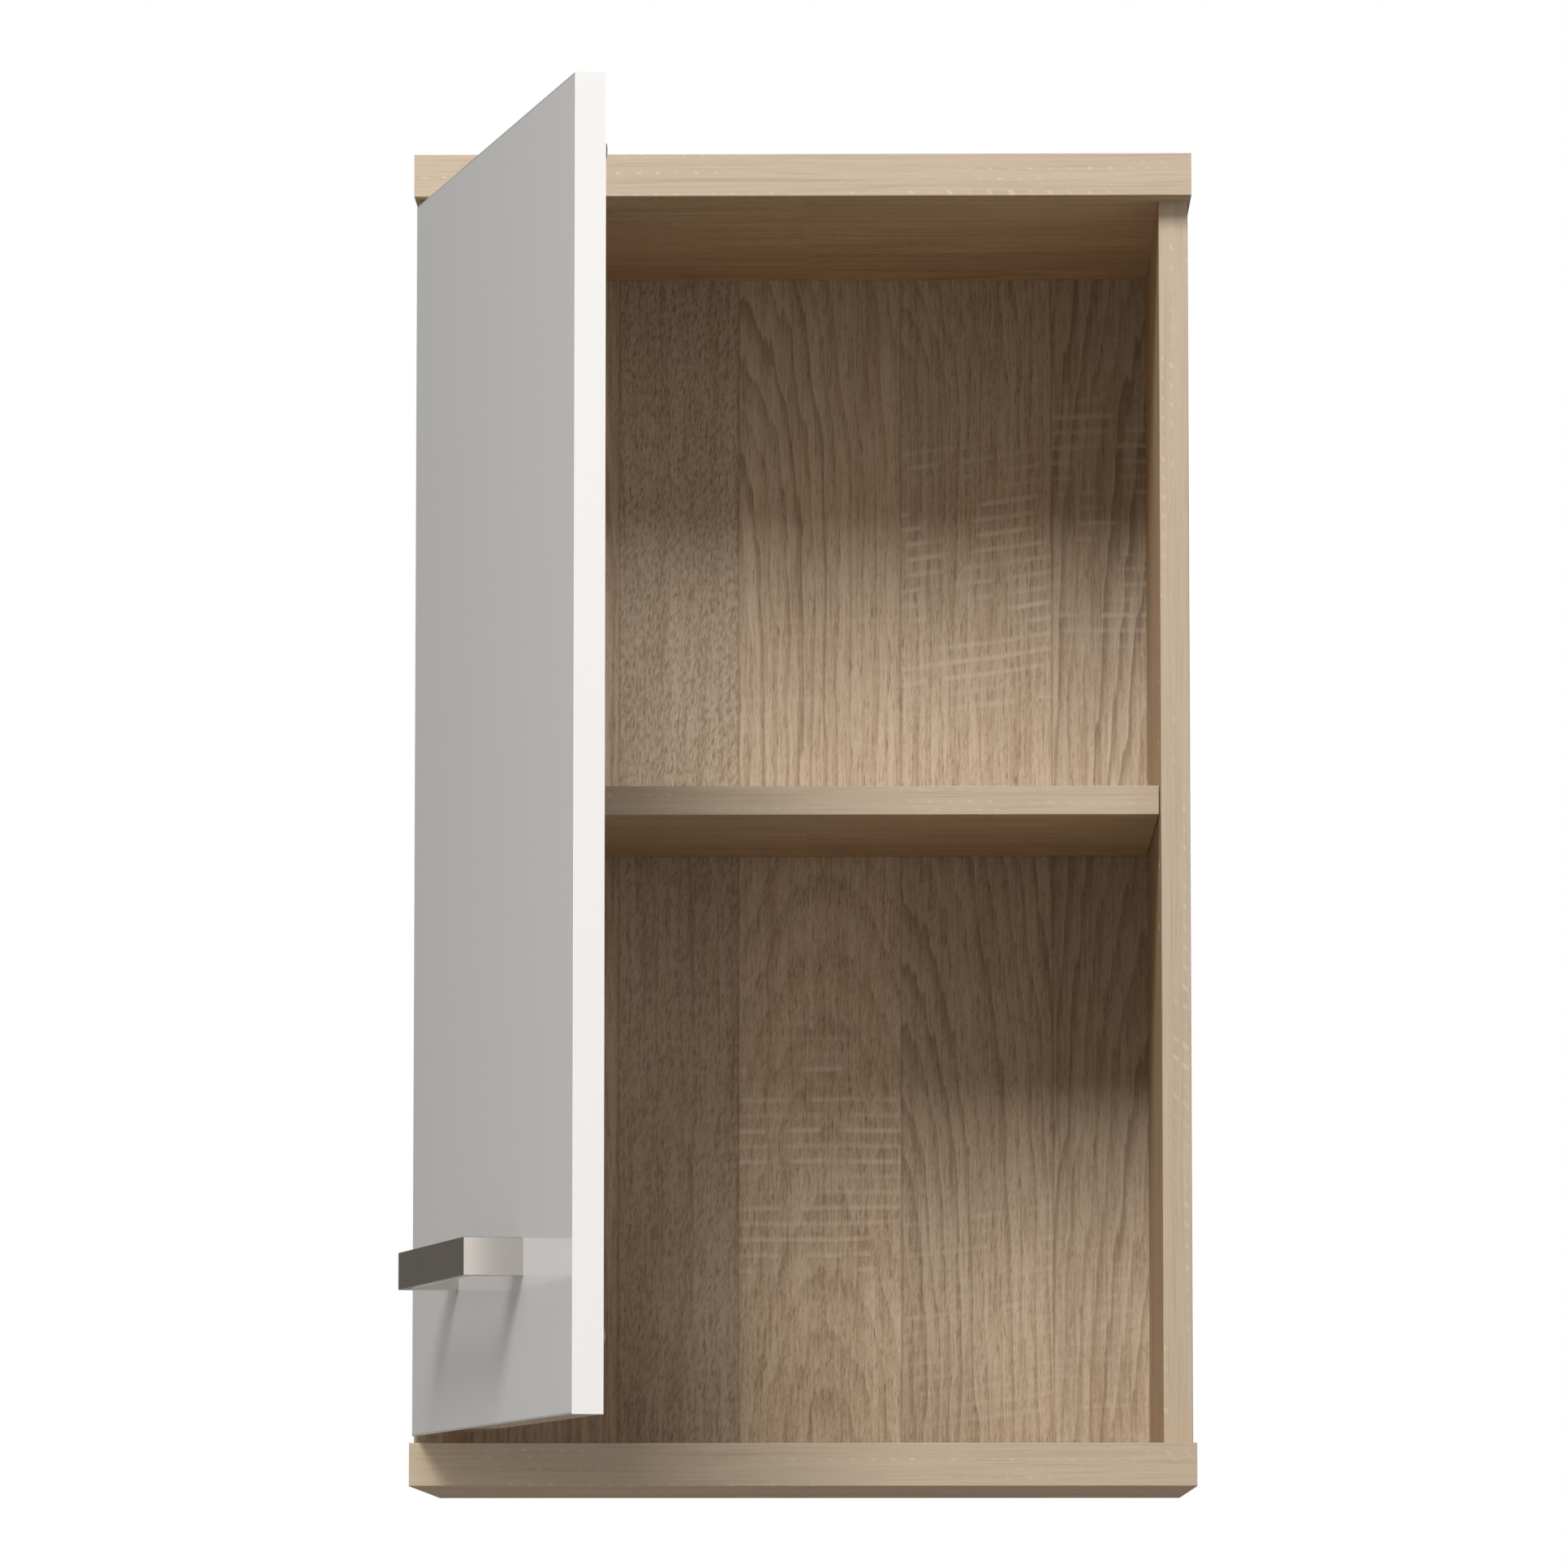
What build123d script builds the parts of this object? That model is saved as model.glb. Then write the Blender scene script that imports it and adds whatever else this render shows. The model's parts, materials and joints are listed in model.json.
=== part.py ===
from build123d import *
import os
from math import atan2, cos, degrees, radians, sin

# Hanging wall cabinet with one hinged door, in millimetres.
# +Z is up, the front faces -Y and the wall is the plane y = 0.
# The origin lies in the wall plane, midway between the holes of the two wall hangers.

os.makedirs("parts", exist_ok=True)

# ---- driving dimensions: carcass ----
width = 400.0
height = 684.0
depth = 300.0
end_board = 22.0  # top and bottom panels
board = 15.0  # sides, shelf and door
overhang = 1.5  # of the top and bottom past the sides' outer faces
front_step = 17.0  # the sides' front edges stand this far behind the front
hanger_drop = 60.0  # hanger holes below the cabinet's top
band = 1.0  # edge banding
arris = 0.5  # rounding of banded edges
back_board = 3.0
back_recess = 20.0  # behind the back panel
groove_deep = 6.0
groove_play = 0.1  # each side of the back panel
shelf_above_base = 346.0  # underside of the shelf above the cabinet's bottom
shelf_step = 24.0  # shelf's front edge behind the sides' front edges
shelf_play = 0.5  # each end of the shelf
shelf_rear_gap = 2.0

# ---- driving dimensions: door ----
door_width = 397.0
door_height = 633.0
door_gap = 2.0  # closed door to the sides' front edges
open_angle = 76.0
hinge_heights = (122.0, 561.0)  # cup centres above the cabinet's bottom
handle_height = 104.0  # centre of the handle above the cabinet's bottom
handle_pitch = 160.0
handle_leg = 8.0
handle_strap = 5.0
handle_out = 29.0
handle_tall = 18.5

# ---- driving dimensions: hinge, as plan points (u, v) of the closed cabinet ----
# u runs from the left side's outer face towards the right, v from the sides' front edges to the front.
arm_front_pivot = (32.0, 2.5)
arm_rear_pivot = (40.0, -3.0)
cup_front_pivot = (7.5, 9.3)
cup_rear_pivot = (9.8, 4.5)
outer_link_rate = -0.11  # turn of the outer link for each degree that the door opens
inner_link_rate = -0.244
outer_link_knee = (17.5, 11.1)
inner_link_knee = (28.5, -5.0)
cup_centre = 20.5  # u of the cup's centre
cup_r = 17.3
cup_bore_r = 17.5
cup_bore_deep = 12.0
cavity_r = 16.5
cavity_half = 8.0
outer_link_half = 3.0  # the outer link lies in the middle of the hinge
inner_plate_near = 3.6  # the inner link is a pair of plates beside it
inner_plate_far = 5.4
cheek_near = 6.2  # the arm's two cheeks
cheek_far = 7.4
link_half = 1.4  # half the width of a link
eye_play = 0.05  # running clearance of a pin in its eye
plate_line = 37.0  # mounting screws behind the sides' front edges
plate_pitch = 32.0

# ---- driving dimensions: hinge pieces ----
arm_web_near = 26.0  # u of the arm's web
arm_web_far = 27.5
arm_back = -64.0  # v of the arm's rear end
arm_floor = 19.0  # u of the cheeks' lower edge
arm_nose = ((29.3, 1.8), (33.5, 0.6), (42.0, -1.2), (42.0, -5.0))  # cheeks' outline round the pivots
arm_slope = (18.0, 26.0)  # where the nose begins on the lower and upper edge, behind the sides' fronts
arm_web_front = 20.0
plate_long = 44.0
plate_shift = 2.0  # plate's middle behind its screws
plate_wing = 16.0  # plate beyond its screws, both ends together
plate_rise = 2.0
block_top = 25.0
block_half = 5.6
arm_pin_r = 1.25
cup_pin_r = 1.0
arm_eye_r = 2.8
cup_eye_r = 2.0
cup_pin_half = 8.8
stub_proud = 0.1  # the inner links' pins in the cup stand proud of their plates
fork_back = 1.6  # the inner link's open fork reaches from here behind its cup pin
fork_front = 2.3  # to here in front of it
fork_side = 0.5  # play beside the pin
prong = 0.9
flange = 1.2
flange_wide = 31.0
flange_tall = 58.0
flange_corner = 6.0
flange_shift = 3.5  # flange's middle beyond the cup's centre
cup_rim = 1.5
cup_floor = 0.8
cup_play = 0.1  # below the cup
notch_reach = 8.0  # clearance for the open links in the cup's rim, from the door's edge
notch_half = 6.0
notch_deep = 1.2
cup_screw_back = 9.5  # cup screws beyond the cup's centre, along the door
cup_screw_half = 22.5  # above and below it
arm_fixing_back = 14.0  # arm screws from the line of the plate's screws
arm_adjuster_front = 10.0
arm_screw_deep = 5.0

# ---- driving dimensions: wall hangers, angles of steel behind the back panel ----
hanger_sheet = 2.0
hanger_tall = 60.0
hanger_wide = 34.0
hanger_deep = back_recess - 1.0
hanger_corner = 6.0
hanger_hole_r = 4.5
hanger_hole_x = 165.0
hanger_screw_half = 20.0

# ---- driving dimensions: corner joints and shelf pins, as distances behind the sides' front edges ----
dowel_lines = (32.0, 224.0)
cam_lines = (64.0, 192.0)
dowel_r = 4.0
dowel_long = 30.0
dowel_in_end = 11.0
dowel_chamfer = 0.8
bore_spare = 1.0  # bores deeper than what they hold
bolt_thread_r = 2.5
bolt_thread_long = 11.0
bolt_collar_r = 3.6
bolt_collar_long = 3.0
bolt_neck_r = 1.6
bolt_head_r = 3.0
bolt_head_long = 3.0
bolt_head_short = 2.0  # the head's end stops this far short of the cam's centre
cam_r = 7.5
cam_play = 0.1
cam_deep = 12.5
cam_inset = 34.0  # cam centre from the side panel's end
cam_mouth = 0.4  # beside the bolt's head
cam_cross = (9.0, 1.6, 2.0)  # cross slot: length, width and depth
pin_r = 2.5
pin_play = 0.1
pin_long = 16.0
pin_hole_deep = 9.0
pin_rows = (37.0, 215.0)
pin_pitch = 32.0

# ---- driving dimensions: screws, as shank radius, shank length, head radius and head height ----
hanger_screw = (1.75, 12.0, 3.6, 2.0)
plate_screw = (2.5, 12.0, 4.2, 2.0)
arm_screw = (2.0, arm_web_far - block_top + arm_screw_deep, 3.8, 1.8)
adjuster_screw = (2.0, arm_web_far - block_top + arm_screw_deep, 2.9, 1.0)
cup_screw = (1.6, 10.0, 3.2, 1.4)
handle_screw = (2.0, board + 10.0, 4.0, 2.4)
screw_play = 0.3
head_taper = 20.0
cross_long = 1.1  # cross recess, as shares of the head's radius
cross_wide = 0.28
cross_deep = 0.7  # and of its height

# ---- driving dimensions: door trim ----
cup_screw_bore = 9.0
handle_thread = 12.0  # threaded bores in the handle's legs
handle_arris = 0.3
bumper_r = 4.5
bumper_tall = 1.5
bumper_half = 280.0  # bumpers above and below the door's middle
bumper_taper = 15.0

# ---- places that follow from them ----
z_top = hanger_drop
z_base = z_top - height
z_low = z_base + end_board  # inside faces of the bottom and top panels
z_high = z_top - end_board
y_front = -depth
y_side = y_front + front_step
x_out = width / 2 - overhang  # outer and inner faces of the sides
x_in = x_out - board
y_back = -back_recess  # rear face of the back panel
z_shelf = z_base + shelf_above_base
z_hinges = [z_base + up for up in hinge_heights]
z_door_mid = z_base + height / 2
z_handle = z_base + handle_height
door_far = door_gap + board  # v of the closed door's outer face
x_mid = x_out - board / 2  # middle of the sides' thickness
z_pins = z_shelf + board / 2  # shelf pins, hidden in grooves in the shelf's ends
hanger_spots = [(-y_side - hanger_deep / 2, s * hanger_screw_half) for s in (-1, 1)]



def turned(vector, turn):
    """A plan vector (du, dv) swung by turn degrees in the door's opening sense."""
    du, dv = vector
    c, s = cos(radians(turn)), sin(radians(turn))
    return du * c - dv * s, du * s + dv * c


def door_point(point, turn=open_angle):
    """Plan position of a point of the closed door when the door is open by turn degrees."""
    arm = turned((cup_front_pivot[0] - arm_front_pivot[0], cup_front_pivot[1] - arm_front_pivot[1]),
                 outer_link_rate * turn)
    leaf = turned((point[0] - cup_front_pivot[0], point[1] - cup_front_pivot[1]), turn)
    return arm_front_pivot[0] + arm[0] + leaf[0], arm_front_pivot[1] + arm[1] + leaf[1]


def plan(point, turn=0.0, z=0.0):
    """Horizontal plane at a plan point, its X along u swung to the front by turn, its Y to the wall."""
    u, v = point
    return Plane(
        origin=(u - x_out, y_side - v, z),
        x_dir=(cos(radians(turn)), -sin(radians(turn)), 0),
        z_dir=(0, 0, 1),
    )


def offset_from(pivot, point):
    """Sketch coordinates of a plan point on a plan plane whose origin is the pivot."""
    return point[0] - pivot[0], pivot[1] - point[1]


# Door plan: origin at the hinge-side outer corner, X along the door, Y from its outer to its inner face.
door_corner = door_point((0.0, door_far))
door_plan = plan(door_corner, open_angle)
# Door face: X along the door, Y up, its normal out of the door's outer face.
door_face = Plane(
    origin=(door_corner[0] - x_out, y_side - door_corner[1], 0),
    x_dir=(cos(radians(open_angle)), -sin(radians(open_angle)), 0),
    z_dir=(-sin(radians(open_angle)), -cos(radians(open_angle)), 0),
)
door_back = door_face.offset(-board)


def on_door(point):
    """Door plan coordinates of a plan point of the closed door."""
    return point[0], door_far - point[1]


def bar(a, b, wide):
    """Flat bar with round ends from a to b, in the sketch being built."""
    along = Vector(*b) - Vector(*a)
    with Locations((Vector(*a) + Vector(*b)) / 2):
        SlotCenterToCenter(along.length, wide, rotation=degrees(atan2(along.Y, along.X)))


def save(part, name):
    part.label = name
    export_step(part, f"parts/{name}.step")
    print(name, len(part.solids()), round(part.volume))


# =========================== carcass boards ===========================


def end_panel(z, inner, name):
    """Top or bottom panel from z upwards; inner is the height of the face towards the sides."""
    into = 1 if inner == z else -1
    half_groove = x_in + groove_deep
    with BuildPart() as panel:
        with BuildSketch(Plane.XY.offset(z)):
            with Locations((0, (y_front + band) / 2)):
                Rectangle(width - 2 * band, depth - band)
        extrude(amount=end_board)
        with BuildSketch(Plane.XY.offset(inner)):
            with Locations((0, y_back - back_board / 2)):
                Rectangle(2 * half_groove, back_board + 2 * groove_play)
        extrude(amount=into * groove_deep, mode=Mode.SUBTRACT)
        with BuildSketch(Plane.XY.offset(inner)):
            with Locations([(s * (x_mid), y_side + y) for s in (-1, 1) for y in dowel_lines]):
                Circle(dowel_r)
        extrude(amount=into * (dowel_in_end + bore_spare), mode=Mode.SUBTRACT)
        with BuildSketch(Plane.XY.offset(inner)):
            with Locations([(s * (x_mid), y_side + y) for s in (-1, 1) for y in cam_lines]):
                Circle(bolt_thread_r)
        extrude(amount=into * (bolt_thread_long + bore_spare), mode=Mode.SUBTRACT)
    save(panel.part, name)


def end_band(z, name):
    """Edge banding wrapped round the front and both ends of a top or bottom panel."""
    with BuildPart() as strip:
        with BuildSketch(Plane.XY.offset(z)):
            with Locations((0, y_front / 2)):
                Rectangle(width, depth)
            with Locations((0, (y_front + band) / 2)):
                Rectangle(width - 2 * band, depth - band, mode=Mode.SUBTRACT)
        extrude(amount=end_board)
        fillet(strip.edges().filter_by(Axis.X).group_by(Axis.Y)[0], arris)
    save(strip.part, name)


end_panel(z_base, z_low, "bottom_panel")
end_panel(z_high, z_high, "top_panel")
end_band(z_base, "bottom_edge_band")
end_band(z_high, "top_edge_band")


def side_panel(side, name):
    """Side panel, side -1 left and +1 right."""
    inner = Plane(origin=(side * x_in, y_side, 0), x_dir=(0, 1, 0), z_dir=(1, 0, 0))
    with BuildPart() as panel:
        with BuildSketch(Plane.XY.offset(z_low)):
            with Locations((side * (x_mid), (y_side + band) / 2)):
                Rectangle(board, -y_side - band)
        extrude(amount=z_high - z_low)
        with BuildSketch(inner):
            with Locations((y_back - back_board / 2 - y_side, (z_low + z_high) / 2)):
                Rectangle(back_board + 2 * groove_play, z_high - z_low)
        extrude(amount=side * groove_deep, mode=Mode.SUBTRACT)
        with BuildSketch(inner):
            rows = [z_pins + k * pin_pitch for k in (-2, -1, 0, 1, 2)]
            with Locations([(y, z) for y in pin_rows for z in rows]):
                Circle(pin_r)
        extrude(amount=side * pin_hole_deep, mode=Mode.SUBTRACT)
        with BuildSketch(inner):
            with Locations([(y, z) for y in cam_lines for z in (z_low + cam_inset, z_high - cam_inset)]):
                Circle(cam_r)
        extrude(amount=side * (cam_deep + cam_play), mode=Mode.SUBTRACT)
        for end, way in ((z_low, 1), (z_high, -1)):
            with BuildSketch(Plane.XY.offset(end)):
                with Locations([(side * (x_mid), y_side + y) for y in dowel_lines]):
                    Circle(dowel_r)
            extrude(amount=way * (dowel_long - dowel_in_end + bore_spare), mode=Mode.SUBTRACT)
            with BuildSketch(Plane.XY.offset(end)):
                with Locations([(side * (x_mid), y_side + y) for y in cam_lines]):
                    Circle(dowel_r)
            extrude(amount=way * cam_inset, mode=Mode.SUBTRACT)
        with BuildSketch(inner):
            with Locations(hanger_spots):
                Circle(hanger_screw[0])
        extrude(amount=side * hanger_screw[1], mode=Mode.SUBTRACT)
        if side < 0:
            with BuildSketch(inner):
                with Locations([(plate_line, z + s * plate_pitch / 2) for z in z_hinges for s in (-1, 1)]):
                    Circle(plate_screw[0])
            extrude(amount=side * plate_screw[1], mode=Mode.SUBTRACT)
    save(panel.part, name)


def front_band(x_centre, y, wide, z, tall, name):
    """Straight strip of edge banding with its outer face at y, lying on a board behind it."""
    with BuildPart() as strip:
        with BuildSketch(Plane.XY.offset(z)):
            with Locations((x_centre, y + band / 2)):
                Rectangle(wide, band)
        extrude(amount=tall)
        long_axis = Axis.Z if tall > wide else Axis.X
        fillet(strip.edges().filter_by(long_axis).group_by(Axis.Y)[0], arris)
    save(strip.part, name)


side_panel(-1, "left_side_panel")
side_panel(1, "right_side_panel")
for side, name in ((-1, "left_side_edge_band"), (1, "right_side_edge_band")):
    front_band(side * (x_mid), y_side, board, z_low, z_high - z_low, name)

with BuildPart() as back_panel:
    back_reach = groove_deep - 0.5
    with BuildSketch(Plane.XY.offset(z_low - back_reach)):
        with Locations((0, y_back - back_board / 2)):
            Rectangle(2 * (x_in + back_reach), back_board)
    extrude(amount=z_high - z_low + 2 * back_reach)
save(back_panel.part, "back_panel")

with BuildPart() as shelf:
    shelf_front = y_side + shelf_step
    shelf_back = y_back - back_board - shelf_rear_gap
    with BuildSketch(Plane.XY.offset(z_shelf)):
        with Locations((0, (shelf_front + band + shelf_back) / 2)):
            Rectangle(2 * (x_in - shelf_play), shelf_back - shelf_front - band)
    extrude(amount=board)
    # the pins' grooves run out at the rear, so that the shelf slides on from the front
    groove_front = y_side + pin_rows[0] - pin_r - pin_play
    groove_tall = 2 * (pin_r + pin_play)
    with BuildSketch(Plane.XY.offset(z_pins - groove_tall / 2)):
        for side in (-1, 1):
            with Locations((side * x_in, (groove_front + shelf_back) / 2)):
                Rectangle(2 * (pin_long - pin_hole_deep + 1 + bore_spare), shelf_back - groove_front)
    extrude(amount=groove_tall, mode=Mode.SUBTRACT)
save(shelf.part, "shelf")
front_band(0, shelf_front, 2 * (x_in - shelf_play), z_shelf, board, "shelf_edge_band")

# =========================== carcass fittings ===========================

with BuildPart() as shelf_pins:
    for side in (-1, 1):
        face = Plane(origin=(side * x_in, y_side, z_pins), x_dir=(0, 1, 0), z_dir=(side, 0, 0))
        with BuildSketch(face.offset(pin_hole_deep - 1)):
            with Locations([(line, 0) for line in pin_rows]):
                Circle(pin_r)
        extrude(amount=-pin_long)
    chamfer(shelf_pins.edges().filter_by(GeomType.CIRCLE), arris)
save(shelf_pins.part, "shelf_pins")

with BuildPart() as dowels:
    for end, way in ((z_low, 1), (z_high, -1)):
        with BuildSketch(Plane.XY.offset(end - way * dowel_in_end)):
            with Locations([(s * (x_mid), y_side + y) for s in (-1, 1) for y in dowel_lines]):
                Circle(dowel_r)
        extrude(amount=way * dowel_long)
    chamfer(dowels.edges().filter_by(GeomType.CIRCLE), dowel_chamfer)
save(dowels.part, "corner_dowels")

with BuildPart() as cam_bolts:
    for end, way in ((z_low, 1), (z_high, -1)):
        spots = [(s * (x_mid), y_side + y) for s in (-1, 1) for y in cam_lines]
        with BuildSketch(Plane.XY.offset(end - way * bolt_thread_long)):
            with Locations(spots):
                Circle(bolt_thread_r)
        extrude(amount=way * bolt_thread_long)
        with BuildSketch(Plane.XY.offset(end)):
            with Locations(spots):
                Circle(bolt_collar_r)
        extrude(amount=way * bolt_collar_long)
        with BuildSketch(Plane.XY.offset(end)):
            with Locations(spots):
                Circle(bolt_neck_r)
        extrude(amount=way * (cam_inset - bolt_head_short))
        with BuildSketch(Plane.XY.offset(end + way * (cam_inset - bolt_head_short - bolt_head_long))):
            with Locations(spots):
                Circle(bolt_head_r)
        extrude(amount=way * bolt_head_long)
save(cam_bolts.part, "cam_bolts")

with BuildPart() as cam_locks:
    for side in (-1, 1):
        face = Plane(origin=(side * x_in, y_side, 0), x_dir=(0, 1, 0), z_dir=(side, 0, 0))
        way = side  # the face's Y axis points up on the right side and down on the left
        for end, up in ((z_low + cam_inset, 1), (z_high - cam_inset, -1)):
            with BuildSketch(face):
                with Locations([(y, way * end) for y in cam_lines]):
                    Circle(cam_r - cam_play)
            extrude(amount=cam_deep)
            mouth = 2 * (bolt_head_r + cam_mouth)
            with BuildSketch(face.offset((board - mouth) / 2)):
                with Locations([(y, way * (end - up * cam_r / 2)) for y in cam_lines]):
                    Rectangle(mouth, cam_r + bolt_head_long)
            extrude(amount=mouth, mode=Mode.SUBTRACT)
            for turn in (45, 135):
                with BuildSketch(face):
                    with Locations([(y, way * end) for y in cam_lines]):
                        Rectangle(cam_cross[0], cam_cross[1], rotation=turn)
                extrude(amount=cam_cross[2], mode=Mode.SUBTRACT)
save(cam_locks.part, "cam_locks")

for side, name in ((-1, "left_wall_hanger"), (1, "right_wall_hanger")):
    with BuildPart() as hanger:
        with BuildSketch(Plane.XY.offset(-hanger_tall / 2)):
            with Locations((side * (x_in - hanger_sheet / 2), -hanger_deep / 2)):
                Rectangle(hanger_sheet, hanger_deep)
            with Locations((side * (x_in - hanger_wide / 2), -hanger_sheet / 2)):
                Rectangle(hanger_wide, hanger_sheet)
        extrude(amount=hanger_tall)
        fillet(hanger.edges().filter_by(Axis.Y).sort_by(Axis.X, reverse=side > 0)[0:2], hanger_corner)
        with BuildSketch(Plane.XZ):
            with Locations((side * hanger_hole_x, 0)):
                Circle(hanger_hole_r)
        extrude(amount=hanger_sheet, mode=Mode.SUBTRACT)
        with BuildSketch(Plane.YZ.offset(side * x_in)):
            with Locations([(y_side + y, z) for y, z in hanger_spots]):
                Circle(hanger_screw[0] + screw_play)
        extrude(amount=-side * hanger_sheet, mode=Mode.SUBTRACT)
    save(hanger.part, name)


def screw(seat, kind):
    """Cross-head screw with its head's underside on the seat plane and its shank below it."""
    shank_r, shank_long, head_r, head_tall = kind
    with BuildPart() as one:
        with BuildSketch(seat):
            Circle(shank_r)
        extrude(amount=-shank_long)
        with BuildSketch(seat):
            Circle(head_r)
        extrude(amount=head_tall, taper=head_taper)
        with BuildSketch(seat.offset(head_tall)):
            Rectangle(head_r * cross_long, head_r * cross_wide)
            Rectangle(head_r * cross_wide, head_r * cross_long)
        extrude(amount=-head_tall * cross_deep, mode=Mode.SUBTRACT)
    return one.part


def save_group(pieces, name):
    """Write identical fasteners as separate solids of one node."""
    with BuildPart() as group:
        add(pieces)
    save(group.part, name)


def hanger_seat(side, y, z):
    """Screw seat on the inner face of a hanger."""
    return Plane(origin=(side * (x_in - hanger_sheet), y_side + y, z), x_dir=(0, 1, 0), z_dir=(-side, 0, 0))


seats = [hanger_seat(side, y, z) for side in (-1, 1) for y, z in hanger_spots]
save_group([screw(seat, hanger_screw) for seat in seats], "hanger_screws")

# =========================== hinges ===========================

def mounting_plate(z, name):
    """Cross-shaped plate on the left side panel with a raised block for the arm."""
    wall = Plane(origin=(board - x_out, y_side + plate_line, z), x_dir=(0, 1, 0), z_dir=(1, 0, 0))
    with BuildPart() as plate:
        with BuildSketch(wall):
            RectangleRounded(2 * block_half, plate_pitch + plate_wing, block_half - 0.1)
            with Locations((plate_shift, 0)):
                RectangleRounded(plate_long, 3 * block_half, block_half / 2)
        extrude(amount=plate_rise)
        with BuildSketch(wall.offset(plate_rise)):
            with Locations((plate_shift, 0)):
                Rectangle(plate_long - 2, 2 * block_half)
        extrude(amount=block_top - board - plate_rise)
        chamfer(plate.faces().sort_by(Axis.X)[-1].edges(), arris)
        with BuildSketch(wall):
            with GridLocations(0, plate_pitch, 1, 2):
                Circle(plate_screw[0] + screw_play)
        extrude(amount=plate_rise, mode=Mode.SUBTRACT)
        with BuildSketch(wall.offset(block_top - board)):
            with Locations((arm_fixing_back, 0), (-arm_adjuster_front, 0)):
                Circle(arm_screw[0])
        extrude(amount=-arm_screw_deep - bore_spare, mode=Mode.SUBTRACT)
    save(plate.part, name)


def hinge_arm(z, name):
    """Channel-shaped arm: a web and two cheeks that carry the link pivots."""
    base = plan((0, 0), z=z)
    with BuildPart() as arm:
        for near in (-cheek_far, cheek_near):
            with BuildSketch(base.offset(near)):
                with BuildLine():
                    Polyline(
                        (arm_floor, -arm_back),
                        (arm_floor, arm_slope[0]),
                        *[(u, -v) for u, v in arm_nose],
                        (arm_web_far, arm_slope[1]),
                        (arm_web_far, -arm_back),
                        close=True,
                    )
                make_face()
                with Locations(offset_from((0, 0), arm_front_pivot), offset_from((0, 0), arm_rear_pivot)):
                    Circle(arm_eye_r)
            extrude(amount=cheek_far - cheek_near)
        with BuildSketch(base.offset(-cheek_far)):
            with Locations(((arm_web_near + arm_web_far) / 2, (arm_web_front - arm_back) / 2)):
                Rectangle(arm_web_far - arm_web_near, -arm_back - arm_web_front)
        extrude(amount=2 * cheek_far)
        with BuildSketch(base.offset(-cheek_far)):
            with Locations(offset_from((0, 0), arm_front_pivot), offset_from((0, 0), arm_rear_pivot)):
                Circle(arm_pin_r)
        extrude(amount=2 * cheek_far, mode=Mode.SUBTRACT)
        top = Plane(origin=(arm_web_far - x_out, y_side + plate_line, z), x_dir=(0, 1, 0), z_dir=(1, 0, 0))
        with BuildSketch(top):
            with Locations((arm_fixing_back, 0)):
                SlotCenterToCenter(2 * arm_screw[0], 2 * (arm_screw[0] + screw_play))
            with Locations((-arm_adjuster_front, 0)):
                Circle(adjuster_screw[0] + screw_play)
        extrude(amount=arm_web_near - arm_web_far, mode=Mode.SUBTRACT)
    save(arm.part, name)


def outer_link(z, name):
    """Cranked bar between the arm's front pivot and the cup's deep pivot."""
    flat = plan(arm_front_pivot, outer_link_rate * open_angle, z)
    eye = offset_from(arm_front_pivot, cup_front_pivot)
    knee = offset_from(arm_front_pivot, outer_link_knee)
    with BuildPart() as link:
        with BuildSketch(flat.offset(-outer_link_half)):
            bar((0, 0), knee, 2 * link_half)
            bar(knee, eye, 2 * link_half)
            Circle(arm_eye_r)
            with Locations(eye):
                Circle(cup_eye_r)
            Circle(arm_pin_r + eye_play, mode=Mode.SUBTRACT)
            with Locations(eye):
                Circle(cup_pin_r + eye_play, mode=Mode.SUBTRACT)
        extrude(amount=2 * outer_link_half)
    save(link.part, name)


def inner_link(z, name):
    """Pair of cranked plates between the arm's rear pivot and the cup's shallow pivot."""
    flat = plan(arm_rear_pivot, inner_link_rate * open_angle, z)
    eye = offset_from(arm_rear_pivot, cup_rear_pivot)
    knee = offset_from(arm_rear_pivot, inner_link_knee)
    lean = degrees(atan2(eye[1], eye[0]))
    along = Vector(*eye).normalized()
    reach = Vector(*eye).length
    gap = cup_pin_r + fork_side
    with BuildPart() as link:
        for near in (-inner_plate_far, inner_plate_near):
            with BuildSketch(flat.offset(near)):
                bar((0, 0), knee, 2 * link_half)
                bar(knee, eye, 2 * link_half)
                Circle(arm_eye_r)
                with Locations(along * (reach + (fork_front - fork_back - cup_pin_r - prong) / 2)):
                    Rectangle(fork_front + fork_back + cup_pin_r + prong, 2 * (gap + prong), rotation=lean)
                Circle(arm_pin_r + eye_play, mode=Mode.SUBTRACT)
                with Locations(along * (reach + gap)):
                    SlotCenterToCenter(2 * (fork_back + gap), 2 * gap, rotation=lean, mode=Mode.SUBTRACT)
            extrude(amount=inner_plate_far - inner_plate_near)
    save(link.part, name)


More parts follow.
